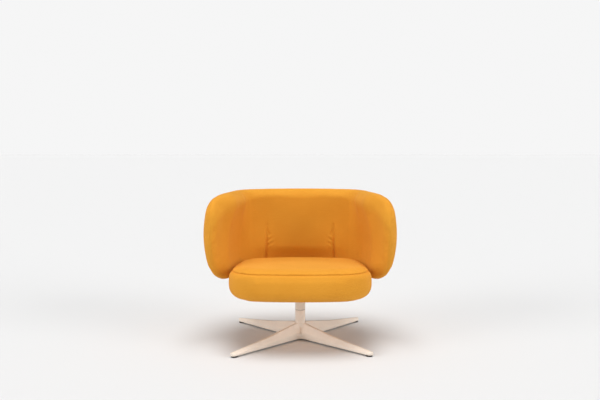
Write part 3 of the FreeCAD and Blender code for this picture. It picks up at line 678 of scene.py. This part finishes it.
def patch_over(ring):
    """An even grid of points spanned by a closed ring, whose count divides by four."""
    n = len(ring) // 4
    loop = np.concatenate((ring, ring[:1]))
    low, right = loop[:n + 1], loop[n:2 * n + 1]
    high, left = loop[2 * n:3 * n + 1][::-1], loop[3 * n:][::-1]
    u = np.linspace(0, 1, n + 1)[None, :, None]
    v = np.linspace(0, 1, n + 1)[:, None, None]
    corners = ((1 - u) * (1 - v) * low[0] + u * (1 - v) * low[-1] + u * v * high[-1]
               + (1 - u) * v * high[0])
    return (1 - v) * low[None] + v * high[None] + (1 - u) * left[:, None] + u * right[:, None] - corners


SEAT_COLUMNS = 208
CROWN_RISE = 0.002


def seat_cover():
    """The cushion's cover: a ring of border rows, closed above and below by even patches."""
    count = SEAT_COLUMNS
    quarter = count // 4
    outline, facing, length = seat_outline(count)
    outline, facing = (np.roll(a, quarter // 2, axis=0) for a in (outline, facing))
    profile, seam = seat_profile()
    rings = np.array([np.c_[outline - facing * inset, np.full(count, height)]
                      for inset, height in profile])
    total = len(rings)
    verts = list(rings.reshape(-1, 3))
    faces = grid_faces(total, count)[:(total - 1) * count]
    for ring, turn in ((0, False), (total - 1, True)):
        patch = patch_over(rings[ring])
        if turn:
            span = np.linspace(-1, 1, quarter + 1) ** 2
            patch[..., 2] += CROWN_RISE * (1 - span[None, :]) * (1 - span[:, None])
        index = np.zeros((quarter + 1, quarter + 1), int)
        border = [(0, i) for i in range(quarter)] + [(i, quarter) for i in range(quarter)]
        border += [(quarter, quarter - i) for i in range(quarter)]
        border += [(quarter - i, 0) for i in range(quarter)]
        for k, place in enumerate(border):
            index[place] = ring * count + k
        for i in range(1, quarter):
            for j in range(1, quarter):
                index[i, j] = len(verts)
                verts.append(patch[i, j])
        for i in range(quarter):
            for j in range(quarter):
                quad = (index[i, j], index[i, j + 1], index[i + 1, j + 1], index[i + 1, j])
                faces.append(tuple(int(q) for q in (quad if turn else quad[::-1])))
    verts = tipped(np.array(verts))
    run = np.concatenate(((0.0,), np.cumsum(np.linalg.norm(np.diff(rings, axis=0),
                                                             axis=2).mean(1))))
    obj = new_object("seat_cover", verts, faces, mustard_wool)
    layer = obj.data.uv_layers.new(name="weave")
    uvs = np.zeros((len(obj.data.loops), 2))
    for poly in obj.data.polygons:
        ids = [obj.data.loops[i].vertex_index for i in poly.loop_indices]
        level = min(v // count for v in ids)
        side_band = max(ids) < total * count and level < seam and max(ids) - min(ids) <= 2 * count
        columns = [v % count for v in ids]
        wrap = max(columns) - min(columns) > count / 2
        for i, v in zip(poly.loop_indices, ids):
            if side_band:
                column = count if wrap and v % count == 0 else v % count
                uvs[i] = (column * length / count, run[v // count])
            else:
                uvs[i] = verts[v][:2]
    layer.data.foreach_set("uv", uvs.ravel())
    face_outwards(obj)
    ring = np.arange(len(verts)) // count
    sewn = (ring == seam) | (verts[:, 2] < SEAT_LOW + 0.003)
    plump(obj, np.nonzero(sewn)[0], SEAT_FILL_MOST)
    subdivide(obj)
    return obj


# Rigid pieces: the frame's own solids, with their edges eased

EASED_ANGLE, FLAT_ANGLE = math.radians(28.0), math.radians(1.0)


def eased(node, name, width, body):
    """A painted piece of the frame as the maker leaves it, with its sharp edges rounded."""
    obj = frame["nodes"][node].copy()
    obj.data = obj.data.copy()
    obj.name = obj.data.name = name
    obj.parent = None
    for key in list(obj.keys()):
        del obj[key]
    scene.collection.objects.link(obj)
    obj.data.materials.clear()
    obj.data.materials.append(cream_paint)
    bm = bmesh.new()
    bm.from_mesh(obj.data)
    bmesh.ops.remove_doubles(bm, verts=bm.verts, dist=1e-6)
    bmesh.ops.dissolve_limit(bm, angle_limit=FLAT_ANGLE, verts=bm.verts, edges=bm.edges)
    bm.to_mesh(obj.data)
    bm.free()
    for poly in obj.data.polygons:
        poly.use_smooth = True
    bevel = obj.modifiers.new("ease", "BEVEL")
    bevel.width = width
    bevel.segments = 2
    bevel.limit_method = "ANGLE"
    bevel.angle_limit = EASED_ANGLE
    bevel.harden_normals = True
    keep_modifiers(obj)
    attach(obj, body)
    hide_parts(node)
    return obj


def finish_nodes():
    """Gives each piece of the frame the finish that its record names."""
    finishes = {
        "dark_nylon": dark_nylon, "cream_paint": cream_paint, "pale_acetal": pale_acetal,
        "bright_steel": bright_steel, "black_steel": black_steel, "plywood": birch_ply,
        "foam": cut_foam, "black_lining": black_lining, "mustard_wool": mustard_wool}
    for part in frame["record"]["subparts"]:
        node = frame["nodes"][part["node"]]
        node.data.materials.clear()
        node.data.materials.append(finishes[part["material_slot"]])


finish_nodes()
tub = tub_cover()
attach(tub, "seat")
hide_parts("tub_pad")
cushion = seat_cover()
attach(cushion, "seat")
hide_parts("seat_pad")
for node, name, width, body in (("base_star", "base_casting", 0.0022, "base"),
                                ("column_tube", "column_lower", 0.0004, "base"),
                                ("column_sleeve", "column_upper", 0.0004, "seat")):
    eased(node, name, width, body)


# Floor, light and camera

FLOOR_REACH, FLOOR_TONE, BACKDROP_TONE = 60.0, 0.72, 0.92
SKY_LOW, SKY_HIGH = 0.21, 0.42
SENSOR_WIDTH = 36.0
PICTURE_WIDTH, FOCAL_PIXELS, DROP_PIXELS = 600, 697, 56.2
VIEW_POINT = (-0.001, -3.51, 0.977)


def studio():
    """A pale floor out to the horizon under an even white sky."""
    corners = [(x * FLOOR_REACH, y * FLOOR_REACH, 0) for x, y in ((-1, -1), (1, -1), (1, 1), (-1, 1))]
    floor = new_object("studio_floor", corners, [(0, 1, 2, 3)], None)
    material, tree, shader = new_material("studio_floor")
    shader.inputs["Base Color"].default_value = (FLOOR_TONE, FLOOR_TONE, FLOOR_TONE, 1)
    shader.inputs["Roughness"].default_value = 1.0
    shader.inputs["Specular IOR Level"].default_value = 0.0
    floor.data.materials.append(material)
    world = bpy.data.worlds.new("studio")
    scene.world = world
    world.use_nodes = True
    tree = world.node_tree
    lit = tree.nodes["Background"]
    way = add(tree, "ShaderNodeTexCoord").outputs["Generated"]
    height = add(tree, "ShaderNodeSeparateXYZ")
    tree.links.new(way, height.inputs[0])
    tree.links.new(ramp(tree, height.outputs["Z"], (0.0, (SKY_LOW,) * 3), (1.0, (SKY_HIGH,) * 3)),
                   lit.inputs["Color"])
    seen = add(tree, "ShaderNodeBackground")
    seen.inputs["Color"].default_value = (BACKDROP_TONE, BACKDROP_TONE, BACKDROP_TONE, 1)
    rays = add(tree, "ShaderNodeLightPath")
    mix = add(tree, "ShaderNodeMixShader")
    tree.links.new(rays.outputs["Is Camera Ray"], mix.inputs["Fac"])
    tree.links.new(lit.outputs[0], mix.inputs[1])
    tree.links.new(seen.outputs[0], mix.inputs[2])
    tree.links.new(mix.outputs[0], tree.nodes["World Output"].inputs["Surface"])


def soft_sun(name, toward, strength, spread):
    """Even light from one side of the studio, as wide as a large diffuser."""
    lamp = bpy.data.lights.new(name, "SUN")
    lamp.energy = strength
    lamp.angle = math.radians(spread)
    obj = bpy.data.objects.new(name, lamp)
    obj.location = Vector(toward).normalized() * 4
    obj.rotation_euler = Vector(toward).to_track_quat("Z", "Y").to_euler()
    scene.collection.objects.link(obj)


studio()
soft_sun("overhead", (0.0, -0.12, 1.0), 2.15, 40)
for side in (-1, 1):
    soft_sun("side_light", (side * 1.0, -0.55, 0.34), 1.25, 30)

camera = bpy.data.cameras.new("camera")
camera.sensor_width = SENSOR_WIDTH
camera.lens = SENSOR_WIDTH * FOCAL_PIXELS / PICTURE_WIDTH
camera.shift_y = -DROP_PIXELS / PICTURE_WIDTH
viewer = bpy.data.objects.new("camera", camera)
viewer.location = VIEW_POINT
viewer.rotation_euler = (math.radians(90), 0.0, 0.0)
scene.collection.objects.link(viewer)
scene.camera = viewer
scene.view_settings.view_transform = "Standard"
